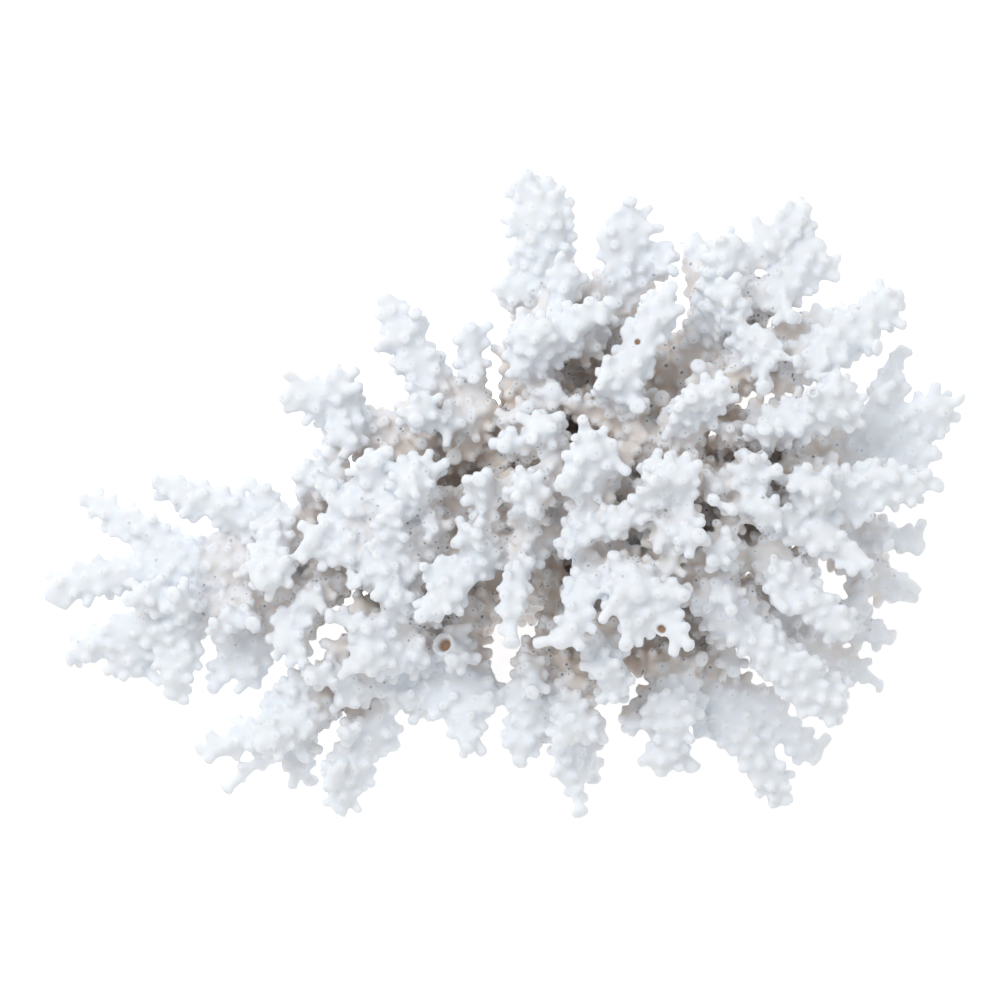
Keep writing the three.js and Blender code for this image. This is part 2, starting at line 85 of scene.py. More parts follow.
# Slim twigs too small for solids, in millimetres: for each branch, the radius where a twig starts,
# the radius at its tip, and the points of its centre line.
TWIGS = {
    "far_left_branch": (
        (2.2, 2, (-95, -20, 33), (-104, -24.4, 32)),
        (2.2, 2, (-84, -6, 34), (-90.5, -9.5, 34)),
    ),
    "upper_left_edge_branch": (
        (2.2, 2, (-66, -0.5, 40), (-68, 3.6, 41)),
        (2.4, 2, (-70, 1, 40), (-71.5, -4.6, 43)),
    ),
    "left_crest_branch": (
        (2.1, 1.8, (-51, -13, 50), (-57.8, -12, 52)),
        (2.1, 1.8, (-51.5, -17, 52), (-57.6, -18.6, 54)),
    ),
    "left_fan_branch": (
        (2.2, 1.9, (-78, -23, 42), (-79.3, -17.8, 45)),
        (2.4, 2, (-80, -33, 31), (-81.6, -42, 27)),
        (2.3, 1.9, (-75, -29, 34), (-77, -33.5, 38)),
        (2, 1.8, (-73.5, -43, 32), (-71.2, -47.4, 31)),
    ),
    "left_fork_branch": (
        (2, 1.8, (-45, -29, 45), (-43.8, -33, 49)),
    ),
    "lower_left_tip_branch": (
        (2.4, 2, (-49, -54, 28), (-55, -60.4, 23), (-60, -63, 22)),
    ),
    "lower_left_drooping_branch": (
        (2.2, 1.7, (-28.5, -48, 31), (-22.6, -56, 30)),
        (2.9, 2.4, (-35, -67, 32), (-36.6, -73, 31)),
    ),
    "lower_left_crown_branch": (
        (2.5, 2, (-26, -36.5, 50), (-30.4, -27.4, 57)),
        (2.3, 2, (-22, -35, 47), (-26.6, -24.6, 55)),
        (2.3, 1.9, (-19, -33, 42), (-22.8, -23.6, 52)),
        (2.3, 1.9, (-30, -36.5, 51), (-35.2, -39.8, 53)),
    ),
    "lower_left_inner_branch": (
        (2.4, 1.9, (-10.5, -44, 42), (-14.4, -50.6, 40)),
    ),
    "left_crown_branch": (
        (2.2, 1.8, (-22, -14, 54), (-21.4, -19.6, 59)),
        (2.2, 1.8, (-27, -16, 56), (-26.6, -21.4, 60)),
        (2, 1.6, (-29, -16.4, 56), (-34.2, -19.8, 58)),
        (2.4, 2, (-24, -12, 54), (-28.2, -8.2, 60)),
    ),
    "middle_left_crest_branch": (
        (2.4, 1.8, (-9, -18, 60), (-18.6, -15.2, 65)),
        (2, 1.4, (-7, -17, 60), (-10.8, -26.4, 62)),
    ),
    "left_finger_branch": (
        (2.2, 1.8, (-29, 4, 56), (-26.2, 12, 61)),
    ),
    "upper_left_low_branch": (
        (2.4, 2.1, (-40.5, 2, 43), (-41.4, 8, 48)),
    ),
    "upper_left_outer_branch": (
        (2.5, 2.2, (-43, 23, 47), (-47.6, 28, 49)),
        (2.5, 2.2, (-43, 23, 47), (-50.4, 22.6, 49)),
    ),
    "upper_left_rising_branch": (
        (2.1, 1.8, (-21, 36, 48), (-18.2, 40.4, 52)),
        (2.2, 1.8, (-20.5, 35.5, 47), (-27.4, 35, 50)),
        (2.2, 1.8, (-17.4, 29, 46), (-24.4, 29, 50)),
    ),
    "left_shoulder_branch": (
        (2.2, 1.8, (-15, 19.4, 55), (-17.4, 24.4, 58)),
        (2, 1.6, (-6.6, 27, 48), (-3.6, 30.6, 53)),
    ),
    "left_summit_branch": (
        (2.4, 2, (-19.4, 3, 56), (-18, 10, 63)),
        (2.4, 2.1, (-18.6, 2, 56), (-13, 7.4, 63)),
        (2.4, 2, (-19.6, 3, 56), (-24.2, 7.6, 62)),
    ),
    "middle_branch": (
        (2, 1.7, (3.4, -19, 67), (7, -22.6, 71)),
        (1.9, 1.6, (2.6, -23, 69), (-1.6, -26.4, 72)),
    ),
    "middle_starburst_branch": (
        (2.3, 1.9, (10, 13, 62), (5.6, 17.6, 69)),
        (2.3, 1.9, (10, 12, 60), (4.4, 12.4, 67)),
    ),
    "summit_branch": (
        (2.1, 1.9, (19.4, 4, 73), (13, 5.8, 78)),
        (2.1, 1.9, (19.4, 1, 69), (13.4, 1.2, 76)),
        (2.2, 2, (21, 9, 75), (27, 12.6, 78)),
        (2.2, 2, (21, 6, 73), (28, 7.6, 78)),
        (2.2, 2, (19.6, 12, 77), (17.6, 18, 79)),
    ),
    "right_summit_branch": (
        (2.3, 2, (35, -2, 72), (29.6, 0.4, 81)),
        (2.2, 1.9, (36.6, 1, 76), (33, 4, 83)),
        (2.4, 2, (38, 3, 77), (44.6, 6.4, 82)),
        (2.2, 1.9, (33.6, -4, 62), (27.6, -4.6, 79)),
    ),
    "front_summit_branch": (
        (2.4, 2, (29, -21, 74), (27.6, -34.4, 77)),
        (2.4, 2, (28, -19, 74), (22.8, -26.8, 79)),
    ),
    "front_branch": (
        (2.3, 2.1, (16.4, -50, 51), (12.6, -56.6, 54)),
        (2.3, 2.1, (17, -50, 51), (21.8, -53.2, 55)),
        (2.4, 1.8, (15.4, -58, 38), (18, -71.4, 35)),
    ),
    "front_left_branch": (
        (2.2, 1.8, (5.6, -52, 41), (1.8, -56.4, 41)),
        (2.2, 1.8, (6.6, -44, 42), (2.8, -46.6, 45)),
    ),
    "front_inner_branch": (
        (2.1, 1.9, (25.6, -36.6, 60), (27, -41, 65)),
        (2.4, 2, (24.6, -35, 48), (24.4, -46.4, 52)),
    ),
    "front_right_branch": (
        (2.1, 1.8, (40, -46, 51), (30.6, -47.4, 55)),
        (2.1, 1.8, (39.6, -50, 50), (30.8, -51.4, 52)),
        (2, 1.6, (38, -55, 48), (32.8, -60.4, 50)),
        (2.4, 2.1, (42, -44, 48), (47, -55.6, 40)),
        (2.2, 1.9, (38, -57, 47), (43, -60.4, 42)),
    ),
    "lower_right_branch": (
        (2.2, 1.6, (55, -29, 62), (59.4, -34.6, 67)),
        (2.4, 2, (67, -40, 60), (71, -36.2, 66)),
        (2.1, 1.8, (61, -36, 60), (58.8, -42.6, 61)),
        (2.2, 1.9, (66.6, -40.6, 59), (66, -47.6, 60)),
    ),
    "lower_right_drooping_branch": (
        (2, 1.6, (56, -56, 41), (57, -65.4, 39)),
        (2.8, 2.4, (62, -64, 38), (66.4, -70, 36)),
    ),
    "right_fore_branch": (
        (2.3, 2, (66, -20, 64), (66.4, -27, 69)),
        (2.4, 2.1, (60, -14, 62), (62.8, -18.4, 70)),
    ),
    "right_low_branch": (
        (2.3, 2, (86, -17, 42), (95, -20.4, 42)),
        (2.3, 1.9, (88, -20, 41), (95.6, -24.2, 39)),
    ),
    "right_starburst_branch": (
        (2.4, 2, (56.4, 4, 70), (55.8, 9.6, 79)),
        (2.4, 2.1, (56.6, 4, 70), (62.6, 6.4, 77)),
        (2, 1.5, (54, 0, 66), (52.4, -2.6, 76), (45.6, 0.4, 80)),
        (2.4, 2, (53.6, -1, 62), (59.2, -7.4, 72)),
        (2, 1.6, (52.6, -1, 60), (48.4, -11.4, 72)),
    ),
    "right_branch": (
        (2.2, 1.9, (82, 2, 61), (84.2, 6.8, 66)),
        (2.2, 1.9, (87, 2.4, 61), (88.8, 8, 62)),
        (2, 1.6, (74, 0, 58), (79.6, -5, 63)),
    ),
    "right_edge_branch": (
        (2.4, 2, (95, 19, 46), (100.5, 23.4, 48)),
        (2.5, 2.2, (88, 11, 47), (102.6, 16.4, 44)),
        (2.4, 1.5, (86, 21, 48), (88, 30, 46), (93, 33.2, 45)),
    ),
    "upper_right_crest_branch": (
        (2, 1.6, (64, 15.4, 67), (57.6, 15, 74)),
        (2, 1.7, (70, 19, 69), (69, 24.6, 74)),
    ),
    "upper_right_branch": (
        (2, 1.7, (84.4, 41, 56), (90.4, 40.4, 57)),
        (2, 1.7, (79, 36.4, 58), (85, 33.4, 60)),
        (2, 1.6, (59.6, 33, 60), (67.6, 29.8, 67)),
        (2, 1.6, (58, 32, 58), (59, 23.4, 68)),
    ),
    "middle_right_branch": (
        (2.2, 1.9, (43, 18, 71), (38.4, 19.8, 78)),
        (2.2, 1.9, (41, 14.6, 66), (36.2, 14.8, 76)),
        (2.2, 1.9, (45.4, 21, 72), (41.6, 24.4, 78)),
    ),
    "upper_middle_branch": (
        (2.2, 1.9, (28, 28, 66), (21.6, 29.6, 71)),
        (2.2, 1.9, (27.4, 22, 64), (20.4, 24.4, 70)),
        (2.2, 1.9, (34, 40, 64), (41, 41.2, 66)),
    ),
    "upper_crown_branch": (
        (2.4, 2.1, (8, 33, 56), (1.2, 35.8, 62)),
        (2.4, 2.1, (8, 34, 56), (3.8, 41.4, 62)),
        (2.4, 2.1, (8, 31, 54), (1.8, 28.8, 60)),
        (2, 1.7, (20, 39, 62), (27.6, 44.6, 64)),
    ),
    "back_column_branch": (
        (2.3, 2.1, (9, 62, 46), (0.6, 64.6, 48)),
        (2.3, 2.1, (9, 61, 47), (14.8, 63.4, 51)),
        (2.2, 2, (8.6, 66, 46), (17.4, 66.6, 46)),
        (2.2, 2, (9.4, 53, 46), (14.2, 57.2, 49)),
        (2.1, 1.8, (9, 54, 45), (3, 56.4, 48)),
    ),
    "back_branch": (
        (2.3, 2.1, (28.6, 56, 46), (24.4, 62.4, 49)),
        (2.3, 2.1, (29.4, 59, 46), (36.6, 61.6, 49)),
        (2.1, 1.8, (27.6, 52, 46), (22.8, 57.2, 47)),
        (2.4, 2.1, (29, 54, 44), (36.6, 57.8, 42)),
    ),
    "back_right_branch": (
        (2.2, 1.8, (60, 58, 52), (62.4, 54.6, 57)),
    ),
    "back_right_edge_branch": (
        (2.4, 2.1, (69, 52, 50), (76.8, 52.2, 50)),
    ),
}

# Cups that stand out, in millimetres: where each shows from above, its radius and height, the
# radius of its mouth, and how rusty it is inside.
WIDE_CUPS = (
    (-13.3, -33, 2.9, 3.2, 1.35, 1.0),
    (34.6, -30, 1.8, 1.2, 0.9, 1.0),
    (29.8, 35.6, 1.1, 0.4, 0.6, 1.0),
    (69, 24, 1.6, 1.6, 0.5, 0.0),
)


# ---------------------------------------------------------------- settings


def measure(name, description, millimetres):
    """A setting that holds a length."""
    return bpy.props.FloatProperty(
        name=name, description=description, default=millimetres * MM, precision=5, unit="LENGTH"
    )


class SkinSettings(bpy.types.PropertyGroup):
    """Sizes of the skin that is fused from the solids."""

    voxel: measure("Voxel", "Edge of the cells in which the solids are fused", 1.0)
    fusing: measure(
        "Fusing", "How far each solid swells before fusing, to close the gap to its neighbour", 0.7
    )
    swell: measure("Swell", "How far the skin lies outside the solids", 0.3)
    rounding: bpy.props.IntProperty(
        name="Rounding",
        description="Smoothing passes that fillet the forks",
        default=4,
    )


class TwigSettings(bpy.types.PropertyGroup):
    """Sizes of the side twigs."""

    spacing: measure("Spacing", "Distance between neighbouring side twigs", 6.5)
    radius: measure("Radius", "Radius of a side twig with half its cups", 2.1)
    length: measure("Length", "How far a side twig reaches out of its branch", 7.5)
    lean: bpy.props.FloatProperty(
        name="Lean",
        description="How far a side twig leans from upright towards its branch's tip",
        default=np.radians(48),
        subtype="ANGLE",
    )


class CupSettings(bpy.types.PropertyGroup):
    """Sizes of the corallites, the cups that cover every branch."""

    spacing: measure("Spacing", "Distance between neighbouring low cups", 2.05)
    radius: measure("Radius", "Outer radius of a low cup", 0.95)
    height: measure("Height", "How far a low cup stands out of the skin", 1.5)
    mouth: measure("Mouth", "Radius of a low cup's opening", 0.27)
    knob_spacing: measure(
        "Knob spacing", "Distance between neighbouring knobs, the long round-ended cups", 2.95
    )
    knob_radius: measure("Knob radius", "Radius of a knob", 1.3)
    knob_height: measure("Knob height", "How far a knob stands out of the skin", 2.7)
    dent: measure("Dent", "How deep the end of a cup sinks towards its mouth", 0.35)
    lean: bpy.props.FloatProperty(
        name="Lean",
        description="How far a cup leans from upright towards its branch's tip",
        default=np.radians(42),
        subtype="ANGLE",
    )
    sides: bpy.props.IntProperty(name="Sides", description="Facets around a cup", default=7)
    voxel: measure("Voxel", "Edge of the cells in which the cups are fused into the skin", 0.63)
    rounding: bpy.props.IntProperty(
        name="Rounding",
        description="Smoothing passes that soften the cups",
        default=2,
    )


class ColourSettings(bpy.types.PropertyGroup):
    """Colours as sRGB hex values."""

    # The white that the open tops are drawn towards: partly bleached by the sun, partly painted light.
    bleached: bpy.props.StringProperty(
        name="Bleached", description="Tips bleached by the sun", default="ecf1f7"
    )
    # Cream on the sheltered sides, partly painted shade.
    cream: bpy.props.StringProperty(
        name="Cream", description="Sides of the branches", default="e9e5e3"
    )
    # Tan deep between the branches: partly real dirt, partly painted shade in the hollows.
    stain_and_shade: bpy.props.StringProperty(
        name="Stained", description="Deep between the branches", default="ece2d9"
    )
    # Grey-brown in the cup mouths: painted shade in the pores.
    mouth: bpy.props.StringProperty(
        name="Mouth", description="Inside the cups", default="8a807c"
    )
    rust: bpy.props.StringProperty(
        name="Rust", description="Inside a few wide old cups", default="a5856f"
    )
    floor: bpy.props.StringProperty(name="Floor", description="Pale floor", default="f8f8f8")


# ---------------------------------------------------------------- numbers and meshes


def linear(code):
    """An sRGB hex colour as linear RGBA: each channel through the sRGB transfer curve."""
    channels = [int(code[i : i + 2], 16) / 255 for i in (0, 2, 4)]
    return (*(c / 12.92 if c <= 0.04045 else ((c + 0.055) / 1.055) ** 2.4 for c in channels), 1.0)


def unit(vectors):
    """Each vector divided by its length."""
    return vectors / np.maximum(np.linalg.norm(vectors, axis=-1, keepdims=True), 1e-12)


def smooth_step(low, high, values):
    """0 below low, 1 above high, and the cubic 3t^2 - 2t^3 between."""
    t = np.clip((values - low) / (high - low), 0, 1)
    return t * t * (3 - 2 * t)


def gathered(values, index, count):
    """The sum of the rows of values that share an index."""
    return np.stack([np.bincount(index, column, count) for column in values.T], axis=1)


def vertex_normals(places, triangles):
    """Each corner's normal: the sum of its triangles' cross products, which weighs them by area."""
    a, b, c = (places[triangles[:, k]] for k in range(3))
    faces = np.cross(b - a, c - a)
    total = sum(gathered(faces, triangles[:, k], len(places)) for k in range(3))
    return unit(total)


def triangles_of(quads):
    """Two triangles for each four-sided face."""
    return np.concatenate([quads[:, [0, 1, 2]], quads[:, [0, 2, 3]]])


def solid_surface(node):
    """The node's corners and triangles, with corners at one place merged."""
    mesh = bpy.data.objects[node].data
    mesh.calc_loop_triangles()
    places = np.empty(len(mesh.vertices) * 3)
    mesh.vertices.foreach_get("co", places)
    triangles = np.empty(len(mesh.loop_triangles) * 3, dtype=int)
    mesh.loop_triangles.foreach_get("vertices", triangles)
    places = places.reshape(-1, 3)
    _, first, merged = np.unique(
        np.round(places / (0.002 * MM)), axis=0, return_index=True, return_inverse=True
    )
    triangles = merged.ravel()[triangles].reshape(-1, 3)
    a, b, c = triangles.T
    return places[first], triangles[(a != b) & (b != c) & (c != a)]


def twig_surface(start_radius, tip_radius, *points):
    """A round-ended twig: a circle of shrinking radius carried along a parabola.

    The centre line is the parabola through the first, middle and last point. The radius runs from
    start to tip in proportion to the way along, and closes as a half circle at the end.
    """
    ends = np.array(points, dtype=float) * MM
    first, last = ends[0], ends[-1]
    middle = ends[len(ends) // 2] if len(ends) > 2 else (first + last) / 2
    pull = 2 * middle - (first + last) / 2
    length = np.linalg.norm(middle - first) + np.linalg.norm(last - middle)
    cap = min(tip_radius * MM / length, 0.5)
    round_end = 1 - cap * np.array([0.45, 0.14, 0.02])
    along = np.concatenate([np.linspace(0, 1 - cap, TWIG_RINGS - len(round_end)), round_end])
    closing = np.clip((along - (1 - cap)) / cap, 0, 1)
    radius = (start_radius + (tip_radius - start_radius) * along) * MM * np.sqrt(1 - closing**2)
    t = along[:, None]
    centre = (1 - t) ** 2 * first + 2 * t * (1 - t) * pull + t**2 * last
    heading = unit(2 * (1 - t) * (pull - first) + 2 * t * (last - pull))
    across = unit(np.cross(heading, [0.31, 0.17, 0.93]))
    rims = circles(across, np.cross(heading, across), TWIG_SIDES)
    places = (centre[:, None] + radius[:, None, None] * rims).reshape(-1, 3)
    return np.vstack([places, first, last]), closed_tube(TWIG_RINGS, TWIG_SIDES)


def circles(across, beside, sides):
    """Unit circles: the cosine of the turn along across plus its sine along beside."""
    turn = np.linspace(0, 2 * np.pi, sides, endpoint=False)[:, None]
    return np.cos(turn) * across[:, None] + np.sin(turn) * beside[:, None]


def closed_tube(rings, sides):
    """A tube's triangles: bands between rings of points, and a fan to the point at each end.

    The rings come first, from start to end, then the start point and the end point.
    """
    ring = np.arange(sides)
    following = np.roll(ring, -1)
    low = np.arange(rings - 1)[:, None] * sides
    bands = np.stack([low + ring, low + following, low + following + sides, low + ring + sides], axis=-1)
    top = (rings - 1) * sides
    start = np.full(sides, rings * sides)
    return np.concatenate([
        triangles_of(bands.reshape(-1, 4)),
        np.stack([following, ring, start], axis=1),
        np.stack([top + ring, top + following, start + 1], axis=1),
    ])


def stacked(surfaces):
    """Several surfaces as one, and the number of the surface that each triangle came from."""
    starts = np.cumsum([0] + [len(places) for places, _ in surfaces])
    places = np.vstack([places for places, _ in surfaces])
    triangles = np.vstack([faces + start for (_, faces), start in zip(surfaces, starts)])
    source = np.repeat(np.arange(len(surfaces)), [len(faces) for _, faces in surfaces])
    return places, triangles, source


def new_mesh(name, places, quads, triangles):
    """A mesh of four-sided and three-sided faces from whole arrays."""
    mesh = bpy.data.meshes.new(name)
    corners = np.concatenate([quads.ravel(), triangles.ravel()])
    sizes = np.concatenate([np.full(len(quads), 4), np.full(len(triangles), 3)])
    mesh.vertices.add(len(places))
    mesh.vertices.foreach_set("co", places.ravel())
    mesh.loops.add(len(corners))
    mesh.loops.foreach_set("vertex_index", corners.astype(np.int32))
    mesh.polygons.add(len(sizes))
    mesh.polygons.foreach_set("loop_start", (np.cumsum(sizes) - sizes).astype(np.int32))
    mesh.update(calc_edges=True)
    return mesh


# ---------------------------------------------------------------- the skin


def fused(places, triangles, voxel):
    """The outer surface of all the solids together, as even four-sided faces."""
    mesh = new_mesh("fusing", places, np.empty((0, 4), int), triangles)
    helper = bpy.data.objects.new("fusing", mesh)
    bpy.context.collection.objects.link(helper)
    remesh = helper.modifiers.new("fuse", "REMESH")
    remesh.mode = "VOXEL"
    remesh.voxel_size = voxel
    remesh.adaptivity = 0.0
    graph = bpy.context.evaluated_depsgraph_get()
    result = helper.evaluated_get(graph).to_mesh()
    spots = np.empty(len(result.vertices) * 3)
    result.vertices.foreach_get("co", spots)
    corners = np.empty(len(result.loops), dtype=int)
    result.loops.foreach_get("vertex_index", corners)
    sizes = np.empty(len(result.polygons), dtype=int)
    result.polygons.foreach_get("loop_total", sizes)
    starts = np.empty(len(result.polygons), dtype=int)
    result.polygons.foreach_get("loop_start", starts)
    bpy.data.objects.remove(helper)
    bpy.data.meshes.remove(mesh)
    quads = corners[starts[sizes == 4][:, None] + np.arange(4)]
    return grounded(spots.reshape(-1, 3), quads)


def grounded(places, quads):
    """The part of the surface that hangs together with the floor, without islands and hollows."""
    near = Neighbours(quads, len(places))
    label = np.arange(len(places))
    while True:
        lower = np.minimum(label, np.minimum.reduceat(label[near.there], near.starts))
        lower = lower[lower]
        if np.array_equal(lower, label):
            break
        label = lower
    reached = np.isin(label, np.unique(label[places[:, 2] < FOOT_BAND]))
    number = np.cumsum(reached) - 1
    return places[reached], number[quads[reached[quads].all(axis=1)]]


class Neighbours:
    """Each corner's neighbours along the edges, laid end to end for sums over whole arrays."""

    def __init__(self, quads, count):
        sides = np.concatenate([quads[:, [k, (k + 1) % 4]] for k in range(4)])
        across = np.concatenate([quads[:, [0, 2]], quads[:, [1, 3]]])
        pairs = np.concatenate([sides, across])
        pairs = np.concatenate([pairs, pairs[:, ::-1]])
        self.here, self.there = np.divmod(np.unique(pairs @ np.array([count, 1])), count)
        self.starts = np.searchsorted(self.here, np.arange(count))
        self.number = np.bincount(self.here, minlength=count)

    def mean(self, values):
        """The mean of each corner's neighbours."""
        total = np.add.reduceat(values[self.there], self.starts, axis=0)
        return total / (self.number[:, None] if values.ndim > 1 else self.number)

    def smoothed(self, places, passes):
        """The places drawn towards the mean of their neighbours, pass after pass."""
        for _ in range(passes):
            places = places + 0.55 * (self.mean(places) - places)
        return places

    def polished(self, places, passes):
        """The places smoothed and swollen back by turns, which evens them without shrinking."""
        for _ in range(passes):
            for amount in (0.5, -0.45):
                places = places + amount * (self.mean(places) - places)
        return places

    def distances(self, places, start):
        """The way from the start corners to every corner, along edges and diagonals."""
        steps = np.linalg.norm(places[self.here] - places[self.there], axis=1)
        way = np.where(start, 0.0, np.inf)
        while True:
            nearer = np.minimum(way, np.minimum.reduceat(way[self.there] + steps, self.starts))
            if np.array_equal(nearer, way):
                return way
            way = nearer


def depth_below_canopy(places, cell, reach):
    """How far each point lies below the colony's canopy.

    The canopy is the highest point in each upright column, spread to the columns around it.
    """
    low = places[:, :2].min(axis=0) - reach
    column = ((places[:, :2] - low) / cell).astype(int)
    steps = int(round(reach / cell))
    size = column.max(axis=0) + steps + 2
    canopy = np.zeros(size)
    np.maximum.at(canopy, tuple(column.T), places[:, 2])
    for axis in (0, 1):
        canopy = np.max([np.roll(canopy, shift, axis) for shift in range(-steps, steps + 1)], axis=0)
    return canopy[tuple(column.T)] - places[:, 2]


def crowding(places, probes, cell, reach):
    """How much skin lies around each probe: corners counted in cells, then spread by box means.

    The mean over neighbouring cells is taken twice along each axis.
    """
    low = np.minimum(places.min(axis=0), probes.min(axis=0)) - reach
    size = ((np.maximum(places.max(axis=0), probes.max(axis=0)) + reach - low) / cell).astype(int) + 2
    filled = np.zeros(size)
    np.add.at(filled, tuple(((places - low) / cell).astype(int).T), 1.0)
    steps = int(round(reach / cell / 2))
    for axis in (0, 1, 2, 0, 1, 2):
        filled = sum(np.roll(filled, shift, axis) for shift in range(-steps, steps + 1))
        filled /= 2 * steps + 1
    return filled[tuple(((probes - low) / cell).astype(int).T)]


def shelter_of(places, normals, near):
    """From 0 on the outermost tips to 1 deep down between the branches.

    Half of it is how much skin lies around a point 5 mm out, and half is the depth under the canopy.
    """
    crowd = crowding(places, places + 5 * MM * normals, 1.5 * MM, 12 * MM)
    crowd /= np.percentile(crowd, 95)
    below = depth_below_canopy(places, 1.5 * MM, 6 * MM)
    shelter = 0.5 * smooth_step(0.3, 1.1, crowd) + 0.5 * smooth_step(8 * MM, 40 * MM, below)
    for _ in range(6):
        shelter = near.mean(shelter)
    return shelter


def growth_over(places, normals, near):
    """The way from the foot along the skin, and the direction in which it rises fastest."""
    way = near.distances(places, places[:, 2] < FOOT_BAND)
    step = places[near.there] - places[near.here]
    rise = (way[near.there] - way[near.here]) / np.linalg.norm(step, axis=1)
    growth = np.add.reduceat(unit(step) * rise[:, None], near.starts, axis=0)
    for _ in range(14):
        growth = near.mean(growth)
    growth -= (growth * normals).sum(axis=1, keepdims=True) * normals
    return way, unit(growth)


def sprouts(places, quads, normals, growth, shelter, owner, twigs):
    """Short round-ended side twigs where the skin has room for them, with their owners.

    They stand in an even scatter, lean from upright towards their branch's tip and towards the
    sky, and stop short of whatever lies ahead. They are longest deep down between the branches.
    """
    chance = np.random.default_rng(SEED)
    inner = smooth_step(0.1, 0.7, shelter)
    spacing = twigs.spacing * (1.35 - 0.4 * inner + 0.4 * chance.random(len(places)))
    kept = even_scatter(places, spacing, chance.random(len(places))) & (places[:, 2] > BARE_STEM)
    start = places[kept]
    count = len(start)
    lean = twigs.lean * (0.4 + 0.8 * chance.random(count))[:, None]
    inner = inner[kept]
    upright = (0.2 + 0.7 * inner)[:, None] * [0.0, 0.0, 1.0]
    swing = unit(growth[kept] + 0.3 * chance.normal(size=(count, 3)))
    heading = unit(np.cos(lean) * normals[kept] + np.sin(lean) * swing + upright)
    tree = BVHTree.FromPolygons(places.tolist(), quads.tolist())
    far = 4 * twigs.length
    clearance, shortest = 4.0 * MM, 2.2 * MM
    room = np.array([
        tree.ray_cast(spot, way, far)[3] or far
        for spot, way in zip(start + 1.0 * MM * normals[kept], heading)
    ])
    length = twigs.length * (0.4 + 0.4 * chance.random(count) + 2.6 * inner * chance.random(count))
    length = np.minimum(length, room - clearance)
    radius = twigs.radius * (0.8 + 0.25 * chance.random(count) + 0.35 * inner)
    grown = [
        twig_surface(1.15 * thick / MM, thick / MM, base / MM, (base + reach * way) / MM)
        for base, way, reach, thick in zip(start - 1.0 * MM * normals[kept], heading, length, radius)
        if reach > shortest
    ]
    return grown, owner[kept][length > shortest].tolist()


def grow_skin(skin, twigs):
    """The colony's skin with what the cups and colours need: normals, growth and shelter.

    The solids and the larger twigs are fused coarsely first, to find where side twigs have room,
    and then once more, finely, with the side twigs.
    """
    surfaces, owners = [], []
    for index, node in enumerate(NODES):
        places, triangles = solid_surface(node)
        surfaces.append((places + skin.fusing * vertex_normals(places, triangles), triangles))
        owners.append(index)
        for twig in TWIGS.get(node, ()):
            surfaces.append(twig_surface(*twig))
            owners.append(index)

    def nearest_owner(spots):
        places, triangles, source = stacked(surfaces)
        tree = BVHTree.FromPolygons(places.tolist(), triangles.tolist())
        return np.array(owners)[source[[tree.find_nearest(spot)[2] for spot in spots]]]

    places, triangles, _ = stacked(surfaces)
    spots, quads = fused(places, triangles, 1.6 * skin.voxel)
    near = Neighbours(quads, len(spots))
    spots = near.smoothed(spots, 3)
    normals = vertex_normals(spots, triangles_of(quads))
    _, growth = growth_over(spots, normals, near)
    shelter = shelter_of(spots, normals, near)
    grown, whose = sprouts(spots, quads, normals, growth, shelter, nearest_owner(spots), twigs)
    surfaces += grown
    owners += whose

    places, triangles, _ = stacked(surfaces)
    spots, quads = fused(places, triangles, skin.voxel)
    near = Neighbours(quads, len(spots))
    spots = near.smoothed(spots, skin.rounding)
    normals = vertex_normals(spots, triangles_of(quads))
    owner = nearest_owner(spots)
    outwards = np.where(spots[:, 2] > 0.5 * MM, skin.swell - skin.fusing, 0.0)
    spots = near.smoothed(spots + outwards[:, None] * normals, 2)
    spots[:, 2] = np.maximum(spots[:, 2], 0.0)
    normals = vertex_normals(spots, triangles_of(quads))

    way, growth = growth_over(spots, normals, near)
    highest = way
    for _ in range(4):
        highest = np.maximum(highest, np.maximum.reduceat(highest[near.there], near.starts))
    tips = (way >= highest) & (way > BARE_STEM)
    from_tip = near.distances(spots, tips)

    return {
        "places": spots,
        "quads": quads,
        "normals": normals,
        "owner": owner,
        "growth": growth,
        "tips": np.flatnonzero(tips),
        "from_tip": from_tip,
        "shelter": shelter_of(spots, normals, near),
    }


# ---------------------------------------------------------------- the cups


def even_scatter(places, spacing, rank):
    """Which points stay when no two may be nearer than their spacing, the higher rank first.

    Pairs of near points come from a grid of cells. In each round, a point that outranks all its
    living neighbours stays, and they go.
    """
    cell = spacing.max()
    grid = ((places - places.min(axis=0)) / cell).astype(int) + 1
    size = grid.max(axis=0) + 2
    code = np.ravel_multi_index(tuple(grid.T), size)
    order = np.argsort(code, kind="stable")
    sorted_code = code[order]
    pairs = []
    for shift in np.ndindex(3, 3, 3):
        other = np.ravel_multi_index(tuple((grid + np.array(shift) - 1).T), size)
        low = np.searchsorted(sorted_code, other)
        number = np.searchsorted(sorted_code, other, side="right") - low
        one = np.repeat(np.arange(len(places)), number)
        within = np.arange(number.sum()) - np.repeat(np.cumsum(number) - number, number)
        two = order[np.repeat(low, number) + within]
        close = np.linalg.norm(places[one] - places[two], axis=1) < (spacing[one] + spacing[two]) / 2
        close &= one < two
        pairs.append(np.stack([one[close], two[close]], axis=1))
    pairs = np.concatenate(pairs)
    alive = np.ones(len(places), dtype=bool)
    kept = np.zeros(len(places), dtype=bool)
    while alive.any():
        pairs = pairs[alive[pairs].all(axis=1)]
        loser = np.where(rank[pairs[:, 0]] > rank[pairs[:, 1]], pairs[:, 1], pairs[:, 0])
        winner = alive.copy()
        winner[loser] = False
        kept |= winner
        alive &= ~winner
        beaten = pairs[winner[pairs].any(axis=1)].ravel()
        alive[beaten] = False
    return kept


